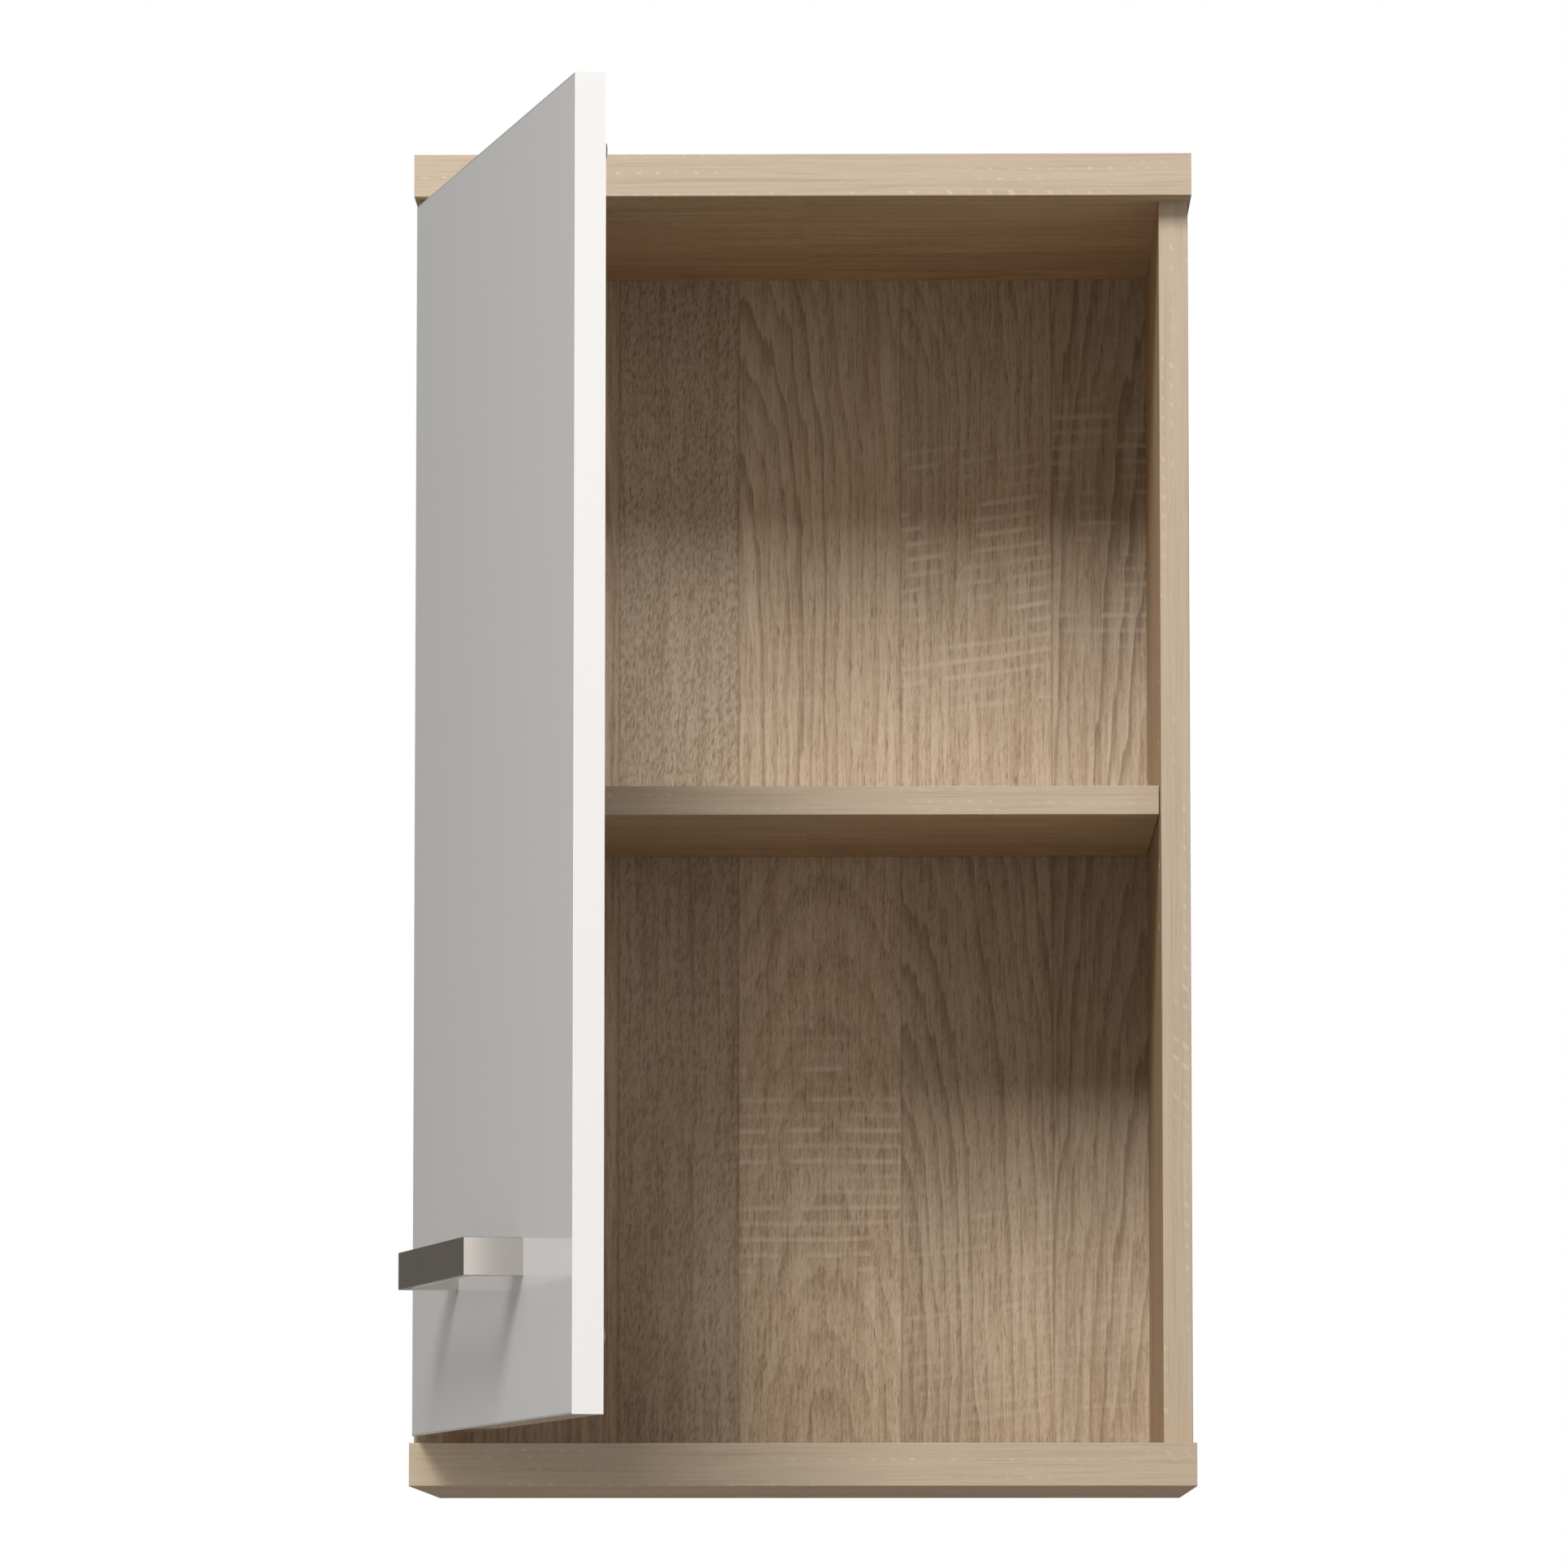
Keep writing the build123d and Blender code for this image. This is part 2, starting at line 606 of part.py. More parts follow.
def hinge_cup(z, name):
    """Die-cast cup set in the door, with a flange on the door's inner face."""
    with BuildPart() as cup:
        with BuildSketch(door_back):
            with Locations((cup_centre, z)):
                Circle(cup_r)
        extrude(amount=cup_bore_deep - cup_play)
        with BuildSketch(door_back):
            with Locations((cup_centre + flange_shift, z)):
                RectangleRounded(flange_wide, flange_tall, flange_corner)
            with Locations((cup_centre, z)):
                Circle(cup_r + cup_rim)
        extrude(amount=-flange)
        with BuildSketch(door_back.offset(-flange)):
            with Locations((cup_centre, z)):
                Circle(cavity_r)
                with Locations((0, cavity_half + cup_r), (0, -cavity_half - cup_r)):
                    Rectangle(3 * cup_r, 2 * cup_r, mode=Mode.SUBTRACT)
        extrude(amount=flange + cup_bore_deep - cup_play - cup_floor, mode=Mode.SUBTRACT)
        with BuildSketch(door_back.offset(-flange)):
            with Locations((notch_reach / 2, z)):
                Rectangle(notch_reach, 2 * notch_half)
        extrude(amount=flange + notch_deep, mode=Mode.SUBTRACT)
        with BuildSketch(door_back.offset(-flange)):
            with Locations(*[(cup_centre + cup_screw_back, z + s * cup_screw_half) for s in (-1, 1)]):
                Circle(cup_screw[0] + screw_play)
        extrude(amount=flange, mode=Mode.SUBTRACT)
        with BuildSketch(door_plan.offset(z - cup_pin_half)):
            with Locations(on_door(cup_front_pivot), on_door(cup_rear_pivot)):
                Circle(cup_pin_r)
        extrude(amount=2 * cup_pin_half, mode=Mode.SUBTRACT)
    save(cup.part, name)


for place, z in zip(("lower", "upper"), z_hinges):
    mounting_plate(z, f"{place}_mounting_plate")
    hinge_arm(z, f"{place}_hinge_arm")
    outer_link(z, f"{place}_outer_link")
    inner_link(z, f"{place}_inner_link")
    hinge_cup(z, f"{place}_hinge_cup")

with BuildPart() as arm_pins:
    for z in z_hinges:
        with BuildSketch(plan((0, 0), z=z - cheek_far)):
            with Locations(offset_from((0, 0), arm_front_pivot), offset_from((0, 0), arm_rear_pivot)):
                Circle(arm_pin_r)
        extrude(amount=2 * cheek_far)
save(arm_pins.part, "arm_pins")

with BuildPart() as cup_pins:
    for z in z_hinges:
        with BuildSketch(door_plan.offset(z - cup_pin_half)):
            with Locations(on_door(cup_front_pivot)):
                Circle(cup_pin_r)
        extrude(amount=2 * cup_pin_half)
        stub_near = inner_plate_near - stub_proud
        for low in (-cup_pin_half, stub_near):
            with BuildSketch(door_plan.offset(z + low)):
                with Locations(on_door(cup_rear_pivot)):
                    Circle(cup_pin_r)
            extrude(amount=cup_pin_half - stub_near)
save(cup_pins.part, "cup_pins")


def side_seat(u, behind, z):
    """Screw seat facing right at distance u, behind the sides' front edges."""
    return Plane(origin=(u - x_out, y_side + behind, z), x_dir=(0, 1, 0), z_dir=(1, 0, 0))


def door_seat(u, z, proud=0.0):
    """Screw seat on the door's inner face, or proud of it."""
    spot = door_back.offset(-proud).from_local_coords((u, z, 0))
    return Plane(origin=spot, x_dir=(0, 0, 1), z_dir=-door_face.z_dir)


plate_holes = [z + s * plate_pitch / 2 for z in z_hinges for s in (-1, 1)]
seats = [side_seat(board + plate_rise, plate_line, z) for z in plate_holes]
save_group([screw(seat, plate_screw) for seat in seats], "hinge_plate_screws")

seats = [side_seat(arm_web_far, plate_line + arm_fixing_back, z) for z in z_hinges]
save_group([screw(seat, arm_screw) for seat in seats], "arm_fixing_screws")

seats = [side_seat(arm_web_far, plate_line - arm_adjuster_front, z) for z in z_hinges]
save_group([screw(seat, adjuster_screw) for seat in seats], "side_adjusting_screws")

cup_holes = [(cup_centre + cup_screw_back, z + s * cup_screw_half) for z in z_hinges for s in (-1, 1)]
seats = [door_seat(u, z, flange) for u, z in cup_holes]
save_group([screw(seat, cup_screw) for seat in seats], "hinge_cup_screws")

# =========================== door ===========================

handle_u = door_width / 2
leg_spots = [(handle_u + s * handle_pitch / 2, z_handle) for s in (-1, 1)]

with BuildPart() as door_panel:
    with BuildSketch(door_back):
        with Locations((door_width / 2, z_door_mid)):
            Rectangle(door_width - 2 * band, door_height - 2 * band)
    extrude(amount=board)
    with BuildSketch(door_back):
        with Locations(*[(cup_centre, z) for z in z_hinges]):
            Circle(cup_bore_r)
    extrude(amount=cup_bore_deep, mode=Mode.SUBTRACT)
    with BuildSketch(door_back):
        with Locations(*cup_holes):
            Circle(cup_screw[0])
    extrude(amount=cup_screw_bore, mode=Mode.SUBTRACT)
    with BuildSketch(door_back):
        with Locations(*leg_spots):
            Circle(handle_screw[0] + screw_play)
    extrude(amount=board, mode=Mode.SUBTRACT)
save(door_panel.part, "door_panel")

with BuildPart() as door_band:
    with BuildSketch(door_back):
        with Locations((door_width / 2, z_door_mid)):
            Rectangle(door_width, door_height)
            Rectangle(door_width - 2 * band, door_height - 2 * band, mode=Mode.SUBTRACT)
    extrude(amount=board)
    outward = Axis((0, 0, 0), door_face.z_dir)
    fillet(door_band.faces().sort_by(outward)[-1].outer_wire().edges(), arris)
save(door_band.part, "door_edge_band")

with BuildPart() as handle:
    with BuildSketch(door_plan.offset(z_handle - handle_tall / 2)):
        with Locations((handle_u, -handle_out / 2)):
            Rectangle(handle_pitch + handle_leg, handle_out)
        with Locations((handle_u, -(handle_out - handle_strap) / 2)):
            Rectangle(handle_pitch - handle_leg, handle_out - handle_strap, mode=Mode.SUBTRACT)
    extrude(amount=handle_tall)
    chamfer(handle.faces().filter_by(Axis.Z).edges(), handle_arris)
    with BuildSketch(door_face):
        with Locations(*leg_spots):
            Circle(handle_screw[0])
    extrude(amount=handle_thread, mode=Mode.SUBTRACT)
save(handle.part, "handle")

save_group([screw(door_seat(u, z), handle_screw) for u, z in leg_spots], "handle_screws")

with BuildPart() as bumpers:
    with BuildSketch(door_back):
        with Locations(*[(door_width - board / 2, z_door_mid + s * bumper_half) for s in (-1, 1)]):
            Circle(bumper_r)
    extrude(amount=-bumper_tall, taper=bumper_taper)
save(bumpers.part, "door_bumpers")
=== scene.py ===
import bpy
import bmesh
import json
from math import cos, pi, radians, sin
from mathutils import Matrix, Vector


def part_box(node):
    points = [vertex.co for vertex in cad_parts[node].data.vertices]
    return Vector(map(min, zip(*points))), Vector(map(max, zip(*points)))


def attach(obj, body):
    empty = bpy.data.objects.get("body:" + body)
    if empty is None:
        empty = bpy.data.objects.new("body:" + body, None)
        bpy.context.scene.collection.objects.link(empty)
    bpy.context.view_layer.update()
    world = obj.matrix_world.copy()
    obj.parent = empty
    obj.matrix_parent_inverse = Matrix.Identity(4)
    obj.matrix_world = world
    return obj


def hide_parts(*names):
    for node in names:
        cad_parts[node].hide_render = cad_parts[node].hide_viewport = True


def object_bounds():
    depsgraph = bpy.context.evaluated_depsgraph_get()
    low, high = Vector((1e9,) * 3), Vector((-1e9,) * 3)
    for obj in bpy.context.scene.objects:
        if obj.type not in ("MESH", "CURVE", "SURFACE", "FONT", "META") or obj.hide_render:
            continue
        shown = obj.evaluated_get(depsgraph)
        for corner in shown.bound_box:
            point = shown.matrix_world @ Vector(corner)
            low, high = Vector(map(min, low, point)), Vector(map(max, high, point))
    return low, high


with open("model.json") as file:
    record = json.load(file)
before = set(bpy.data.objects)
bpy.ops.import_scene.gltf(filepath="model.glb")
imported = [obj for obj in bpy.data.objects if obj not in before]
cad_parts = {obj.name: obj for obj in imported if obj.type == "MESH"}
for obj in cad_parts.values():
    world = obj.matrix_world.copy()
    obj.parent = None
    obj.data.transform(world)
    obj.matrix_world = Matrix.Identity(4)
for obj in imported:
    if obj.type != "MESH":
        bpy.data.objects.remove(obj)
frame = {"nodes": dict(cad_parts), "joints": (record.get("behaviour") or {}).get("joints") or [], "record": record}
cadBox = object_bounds()
scene = bpy.context.scene
nodes = frame["nodes"]
mm = 0.001
perMetre = 1000
print("frame loaded:", len(nodes), "parts")


# a small language for node maths
class Value:
    def __init__(self, tree, socket):
        self.tree = tree
        self.socket = socket

    def __add__(self, other):
        return self.tree.maths("ADD", self, other)

    def __radd__(self, other):
        return self.tree.maths("ADD", other, self)

    def __sub__(self, other):
        return self.tree.maths("SUBTRACT", self, other)

    def __rsub__(self, other):
        return self.tree.maths("SUBTRACT", other, self)

    def __mul__(self, other):
        return self.tree.maths("MULTIPLY", self, other)

    def __rmul__(self, other):
        return self.tree.maths("MULTIPLY", other, self)

    def __truediv__(self, other):
        return self.tree.maths("DIVIDE", self, other)

    def __rtruediv__(self, other):
        return self.tree.maths("DIVIDE", other, self)

    def __gt__(self, other):
        return self.tree.maths("GREATER_THAN", self, other)

    def __lt__(self, other):
        return self.tree.maths("LESS_THAN", self, other)


class NodeTree:
    def __init__(self, tree):
        self.tree = tree

    def node(self, kind, settings=None, inputs=None, output=0):
        made = self.tree.nodes.new(kind)
        for name, value in (settings or {}).items():
            setattr(made, name, value)
        for name, value in (inputs or {}).items():
            self.feed(made.inputs[name], value)
        return Value(self, made.outputs[output])

    def feed(self, socket, value):
        if isinstance(value, Value):
            self.tree.links.new(value.socket, socket)
        else:
            socket.default_value = value

    def maths(self, operation, *values):
        return self.node("ShaderNodeMath", {"operation": operation}, dict(enumerate(values)))

    def smooth(self, value, low, high):
        settings = {"interpolation_type": "SMOOTHSTEP"}
        return self.node("ShaderNodeMapRange", settings, {"Value": value, "From Min": low, "From Max": high})

    def point(self, x, y, z):
        return self.node("ShaderNodeCombineXYZ", {}, {0: x, 1: y, 2: z})


class Shader(NodeTree):
    def noise(self, x, y, z, detail=2.0, rough=0.5):
        inputs = {"Vector": self.point(x, y, z), "Scale": 1.0, "Detail": detail, "Roughness": rough}
        return self.node("ShaderNodeTexNoise", {}, inputs)

    def chance(self, number):
        return self.node("ShaderNodeTexWhiteNoise", {"noise_dimensions": "1D"}, {"W": number})

    def dot(self, first, second):
        return self.node("ShaderNodeVectorMath", {"operation": "DOT_PRODUCT"}, {0: first, 1: second}, "Value")

    def blend(self, amount, first, second, mode="MIX"):
        settings = {"data_type": "RGBA", "blend_type": mode, "clamp_factor": True}
        return self.node("ShaderNodeMix", settings, {0: amount, 6: colour(first), 7: colour(second)}, 2)

    def grey(self, value):
        return self.node("ShaderNodeCombineColor", {}, {0: value, 1: value, 2: value})

    def bump(self, height, strength, distance):
        return self.node("ShaderNodeBump", {}, {"Height": height, "Strength": strength, "Distance": distance})


def colour(value):
    return value if isinstance(value, Value) or len(value) == 4 else (*value, 1.0)


class Finish(Shader):
    def __init__(self, name, roughness=0.5, metallic=0.0, **constants):
        self.material = bpy.data.materials.new(name)
        self.material.use_nodes = True
        super().__init__(self.material.node_tree)
        self.surface = self.tree.nodes["Principled BSDF"].inputs
        place = self.node("ShaderNodeTexCoord", output="Object")
        self.place = place
        parts = [self.node("ShaderNodeSeparateXYZ", {}, {0: place}, axis) for axis in "XYZ"]
        self.x, self.y, self.z = [part * perMetre for part in parts]  # in mm
        self.set(Roughness=roughness, Metallic=metallic)
        for key, value in constants.items():
            self.surface[key.replace("_", " ")].default_value = value

    def set(self, **values):
        for key, value in values.items():
            self.feed(self.surface[key.replace("_", " ")], value)


# oak decor
oak = {
    "pale": (0.60, 0.465, 0.32),
    "middle": (0.43, 0.305, 0.19),
    "dark": (0.215, 0.13, 0.07),
    "ash": (0.64, 0.545, 0.435),
    "ring": 6.8,  # mm between growth rings
    "ringWave": 6.0,  # mm that the rings wander
    "surface": 4.0,  # the heart line never comes nearer than this
    "surfaceRound": 8.0,
    "fray": 0.9,  # of a ring
    "lineStart": 0.42,  # late wood, as a share of a ring
    "lineEnd": 0.93,
    "lineDepth": 0.52,
    "lineGlow": 0.30,
    "lean": 0.16,
    "pores": 0.62,
    "poreEdge": (0.56, 0.70),
    "specksPale": 2.2,
    "specksDark": -2.4,
    "fibrePale": 0.42,
    "fibreDark": 0.42,
    "seams": 0.35,
    "seamEdge": (0.1, 1.1),  # mm
    "sawMarks": 0.72,
    "sawPitch": 8.4,  # mm
    "sawReach": 48.0,  # mm above and below sawAt
    "sawFade": 1.8,  # the marks end at this many times sawReach
    "sawEdge": (0.42, 0.55),
    "matt": 0.56,
    "relief": 0.35,
    "reliefDepth": 0.0003,
    "boardTint": (1.02, 0.97, 0.88),
}

# changes per mm across and along the grain, step between planks, octaves, roughness
oakPatterns = {
    "wave": (0.012, 0.006, 7.3, 2.0, 0.5),
    "bend": (0.03, 0.011, 3.1, 2.0, 0.5),
    "fray": (0.22, 0.014, 1.0, 1.0, 0.5),
    "fibre": (0.70, 0.026, 5.7, 5.0, 0.70),
    "streak": (0.13, 0.004, 2.9, 4.0, 0.6),
    "cloud": (0.018, 0.008, 1.7, 2.0, 0.5),
    "speck": (1.05, 0.24, 6.1, 3.0, 0.65),
    "pore": (1.1, 0.10, 9.1, 2.0, 0.6),
    "patch": (0.045, 0.03, 8.3, 1.0, 0.5),
}


def stepped(shader, across, seams, values):
    found = values[0]
    for seam, before, after in zip(seams, values, values[1:]):
        if before != after:
            found = (across > seam) * (after - before) + found
    return found


def oakGrain(shader, across, along, planks, seed, bayLine=0.0):
    # growth rings of planks sawn from one log, in mm; a pair in a plank is its value above and below bayLine
    seams = [plank["from"] for plank in planks[1:]]
    lowBay = along < bayLine

    def own(key):
        rows = [plank[key] if isinstance(plank[key], tuple) else (plank[key], plank[key]) for plank in planks]
        high = stepped(shader, across, seams, [float(row[0]) for row in rows])
        low = stepped(shader, across, seams, [float(row[1]) for row in rows])
        if all(row[0] == row[1] for row in rows):
            return high
        return lowBay * (low - high) + high

    number = own("number") + lowBay * 3 + seed

    def pattern(name, sideways=across):
        wide, long, stride, octaves, rough = oakPatterns[name]
        return shader.noise(sideways * wide, along * long, number * stride, octaves, rough)

    wave = (pattern("wave") - 0.5) * oak["ringWave"] * 2
    bend = (pattern("bend") - 0.5) * oak["ringWave"] * 1.6
    side = across - own("heart") + bend
    sunk = (along - own("foot")) * own("tilt") + wave
    below = shader.maths("SMOOTH_MAX", sunk, oak["surface"], oak["surfaceRound"])
    reach = shader.maths("SQRT", side * side + below * below)
    phase = reach / oak["ring"] + (pattern("fray") - 0.5) * oak["fray"]
    share = shader.maths("FRACT", phase)
    ringTone = shader.chance(shader.maths("FLOOR", phase) + number * 37)
    lines = own("lines")
    lateWood = shader.smooth(share, oak["lineStart"], oak["lineEnd"])
    lateWood = lateWood * (1 - shader.smooth(share, oak["lineEnd"], 1.0))
    earlyWood = shader.smooth(share, 0.0, 0.04) * (1 - shader.smooth(share, 0.05, 0.24))
    fibre = pattern("fibre")
    pore = shader.smooth(pattern("pore"), *oak["poreEdge"]) * (share * 0.6 + 0.4)

    # saw marks: level strokes at an even pitch, in patches, broken by the fibre
    beat = (along - across * own("slope") + wave * 0.4) / oak["sawPitch"]
    stroke = shader.maths("FRACT", beat)
    strength = shader.chance(shader.maths("FLOOR", beat) + number * 11) * 0.7 + 0.3
    stroke = shader.smooth(stroke, 0.0, 0.12) * (1 - shader.smooth(stroke, 0.24, 0.48)) * strength
    away = shader.maths("ABSOLUTE", along - own("sawAt"))
    patch = shader.smooth(pattern("patch"), *oak["sawEdge"])
    patch = patch * (1 - shader.smooth(away, oak["sawReach"], oak["sawReach"] * oak["sawFade"]))
    seam = 0.0
    for place in seams:
        seam = seam + (1 - shader.smooth(shader.maths("ABSOLUTE", across - place), *oak["seamEdge"]))
    return {
        "line": lateWood * (ringTone * 0.8 + 0.3) * lines,
        "glow": earlyWood * (ringTone * 0.7 + 0.3) * lines,
        "fibre": fibre,
        "streak": pattern("streak"),
        "cloud": pattern("cloud"),
        "speck": (pattern("speck", across - along * oak["lean"]) - 0.5) * own("speck"),
        "pore": pore * own("pores"),
        "saw": stroke * patch * own("sawn") * (fibre * 2.4 - 0.4),
        "tone": own("tone"),
        "ash": own("ash"),
        "seam": seam,
    }


def oakColour(shader, grain, tint):
    base = shader.blend(grain["cloud"] * 1.1 + grain["streak"] * 2.4 - 1.25, oak["middle"], oak["pale"])
    layers = [
        (shader.smooth(grain["fibre"], 0.40, 0.72) * oak["fibrePale"] + grain["ash"], "ash"),
        ((1 - shader.smooth(grain["fibre"], 0.28, 0.52)) * oak["fibreDark"], "dark"),
        (grain["speck"] * oak["specksPale"], "ash"),
        (grain["speck"] * oak["specksDark"], "dark"),
        (grain["line"] * oak["lineDepth"], "dark"),
        (grain["glow"] * oak["lineGlow"], "ash"),
        (grain["pore"] * oak["pores"], "dark"),
        (grain["saw"] * oak["sawMarks"], "ash"),
        (grain["seam"] * oak["seams"], "dark"),
    ]
    for amount, tone in layers:
        base = shader.blend(amount, base, oak[tone])
    if tint:
        base = shader.blend(1.0, base, tint, "MULTIPLY")
    return shader.blend(1.0, base, shader.grey(grain["tone"]), "MULTIPLY")


def oakHeight(grain):
    raised = grain["fibre"] * 0.5 + grain["speck"] * 0.8 + grain["saw"] * 0.4
    return raised - grain["pore"] * 0.6 - grain["line"] * 0.35


# from: left edge; heart: where the log's heart line runs; foot: height where it meets the surface; tilt: how
# steeply it gets there; sawAt and slope: height and lean of the saw marks; the rest: how strongly each shows
backPlanks = [
    {
        "from": -200, "number": 1, "heart": -150, "foot": -500, "tilt": 0.05, "lines": 0.7, "pores": 1,
        "speck": 0.6, "sawn": 0.3, "sawAt": -200, "slope": 0.05, "ash": 0.0, "tone": 0.97,
    },
    {
        "from": -103, "number": 2, "heart": -190, "foot": -700, "tilt": 0.04, "lines": (0.12, 0.3),
        "pores": 1.0, "speck": (1.7, 1.3), "sawn": 0.4, "sawAt": (-240, -420), "slope": 0.03, "ash": 0.08,
        "tone": 0.86,
    },
    {
        "from": -38, "number": 3, "heart": (-44, 10), "foot": (-135, -700), "tilt": (0.24, 0.20),
        "lines": (1.0, 0.55), "pores": 1.1, "speck": (0.55, 0.9), "sawn": (0.2, 1.1), "sawAt": (-200, -440),
        "slope": 0.01, "ash": 0.0, "tone": (0.98, 1.15),
    },
    {
        "from": 50, "number": 4, "heart": (47, 43), "foot": (-30, -560), "tilt": (0.34, 0.18),
        "lines": (0.5, 0.9), "pores": 1.1, "speck": 0.7, "sawn": (1.8, 0.5), "sawAt": (-125, -520),
        "slope": 0.14, "ash": 0.05, "tone": 0.96,
    },
    {
        "from": 132, "number": 5, "heart": 205, "foot": (-400, -800), "tilt": 0.12, "lines": 1.1, "pores": 0.9,
        "speck": 0.6, "sawn": (1.3, 0.4), "sawAt": (-90, -560), "slope": 0.02, "ash": 0.03, "tone": 0.87,
    },
]
boardPlanks = [
    {"from": -400, "number": 11, "heart": -330, "foot": -900, "tilt": 0.03, "lines": 0.55, "pores": 0.9,
     "speck": 0.4, "sawn": 0.15, "sawAt": -300, "slope": 0.0, "ash": 0.0, "tone": 0.97},
    {"from": -218, "number": 12, "heart": -150, "foot": -900, "tilt": 0.04, "lines": 0.6, "pores": 0.9,
     "speck": 0.3, "sawn": 0.15, "sawAt": 0, "slope": 0.0, "ash": 0.0, "tone": 1.0},
    {"from": -112, "number": 13, "heart": -40, "foot": -700, "tilt": 0.05, "lines": 0.65, "pores": 0.8,
     "speck": 0.4, "sawn": 0.15, "sawAt": -200, "slope": 0.0, "ash": 0.0, "tone": 0.95},
]

hardboard = {"light": (0.42, 0.28, 0.165), "deep": (0.25, 0.155, 0.085), "matt": 0.72, "weave": 1.5}


def oakBack():
    # decor towards the room, bare hardboard towards the wall
    finish = Finish("oakBackDecor", oak["matt"])
    shelfLine = (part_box("shelf")[0].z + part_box("shelf")[1].z) / 2 * perMetre
    grain = oakGrain(finish, finish.x, finish.z, backPlanks, 0, shelfLine)
    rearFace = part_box("back_panel")[1].y * perMetre
    bare = finish.smooth(finish.y, rearFace - 0.5, rearFace - 0.1)
    felt = finish.noise(finish.x * 0.5, finish.y, finish.z * 0.5, 6.0, 0.75)
    weave = finish.noise(finish.x * 1.6, finish.y, finish.z * 1.6, 2.0)
    board = finish.blend(felt * 0.7 + weave * 0.3, hardboard["deep"], hardboard["light"])
    decorRough = grain["pore"] * 0.12 - grain["saw"] * 0.05 + oak["matt"]
    finish.set(
        Base_Color=finish.blend(bare, oakColour(finish, grain, None), board),
        Roughness=bare * (hardboard["matt"] - decorRough) + decorRough,
        Normal=finish.bump(
            oakHeight(grain) * (1 - bare) + weave * bare * hardboard["weave"], oak["relief"], oak["reliefDepth"]
        ),
    )
    return finish.material


chipboard = {"light": (0.50, 0.36, 0.21), "deep": (0.27, 0.17, 0.09), "matt": 0.8, "chip": 2.5}


def oakBoard(name, across, along, seed, rawBehind):
    # decor on both faces; behind the line rawBehind (mm) the sawn edge shows its chips
    finish = Finish(name, oak["matt"])
    axes = {"x": finish.x, "y": finish.y, "z": finish.z}
    grain = oakGrain(finish, axes[across], axes[along], boardPlanks, seed)
    cells = finish.point(axes["x"] * 0.35, axes["y"] * 0.5, axes["z"] * 0.9)
    inputs = {"Vector": cells, "Scale": 1.0, "Randomness": 1.0}
    chips = finish.node("ShaderNodeTexVoronoi", {}, inputs, "Color")
    crumb = finish.noise(finish.x * 0.9, finish.y * 0.9, finish.z * 1.6, 4.0, 0.7)
    flake = finish.node("ShaderNodeSeparateColor", {}, {0: chips}) * 0.6 + crumb * 0.4
    raw = finish.smooth(finish.y, rawBehind - 0.15, rawBehind)
    rawColour = finish.blend(flake, chipboard["deep"], chipboard["light"])
    finish.set(
        Base_Color=finish.blend(raw, oakColour(finish, grain, oak["boardTint"]), rawColour),
        Roughness=raw * (chipboard["matt"] - oak["matt"]) + oak["matt"],
        Normal=finish.bump(
            oakHeight(grain) * (1 - raw) + flake * raw * chipboard["chip"], oak["relief"], oak["reliefDepth"]
        ),
    )
    return finish.material


edgeTape = {
    "pale": (0.465, 0.366, 0.262),
    "middle": (0.385, 0.292, 0.202),
    "dark": (0.27, 0.19, 0.125),
    "fleck": (0.58, 0.495, 0.40),
    "drift": 2.2,  # mm that the lines wander
    "lines": 0.36,
    "hairs": 0.32,
    "flecks": 0.55,
    "pitch": 10.2,  # mm between the short saw marks of one row
    "lean": 0.8,
    "sway": 6,  # mm that a row of marks wanders
    "matt": 0.5,
    "relief": 0.25,
    "reliefDepth": 0.00015,
}

# changes per mm across and along, octaves, roughness
tapePatterns = {
    "broad": (0.17, 0.003, 2.0, 0.5),
    "fine": (0.75, 0.010, 4.0, 0.65),
    "hair": (1.7, 0.022, 3.0, 0.6),
    "line": (0.42, 0.004, 1.0, 0.5),
}


def oakTape(name, across, along, seed):
    # edge tape: the same oak, cut so narrow that only lengthwise lines and short pale saw marks show
    finish = Finish(name, edgeTape["matt"])
    axes = {"x": finish.x, "y": finish.y, "z": finish.z, "round": finish.x + finish.y}
    a, l = axes[across], axes[along]
    drift = (finish.noise(a * 0.02, l * 0.012, seed, 1.0) - 0.5) * edgeTape["drift"]
    found = {
        key: finish.noise((a + drift) * wide, l * long, seed + step, octaves, rough)
        for step, (key, (wide, long, octaves, rough)) in enumerate(tapePatterns.items(), 1)
    }
    sway = (finish.noise(a * 0.1, l * 0.02, seed + 5, 1.0) - 0.5) * edgeTape["sway"]
    beat = (l + a * edgeTape["lean"] + sway) / edgeTape["pitch"]
    stroke = finish.maths("FRACT", beat)
    stroke = finish.smooth(stroke, 0.0, 0.12) * (1 - finish.smooth(stroke, 0.2, 0.36))
    stroke = stroke * (finish.chance(finish.maths("FLOOR", beat) + seed) * 0.8 + 0.2)
    fleck = stroke * finish.smooth(finish.noise(a * 0.34, l * 0.004, seed + 7, 1.0), 0.56, 0.64)
    base = finish.blend(found["broad"] * 1.7 - 0.35, edgeTape["middle"], edgeTape["pale"])
    for amount, tone in (
        (finish.smooth(found["fine"], 0.36, 0.66) * 0.7, "pale"),
        ((1 - finish.smooth(found["hair"], 0.30, 0.52)) * edgeTape["hairs"], "dark"),
        ((1 - finish.smooth(found["line"], 0.22, 0.38)) * edgeTape["lines"], "dark"),
        (fleck * edgeTape["flecks"], "fleck"),
    ):
        base = finish.blend(amount, base, edgeTape[tone])
    finish.set(
        Base_Color=base,
        Roughness=found["fine"] * 0.1 + (edgeTape["matt"] - 0.05),
        Normal=finish.bump(found["hair"] + fleck * 0.4, edgeTape["relief"], edgeTape["reliefDepth"]),
    )
    return finish.material


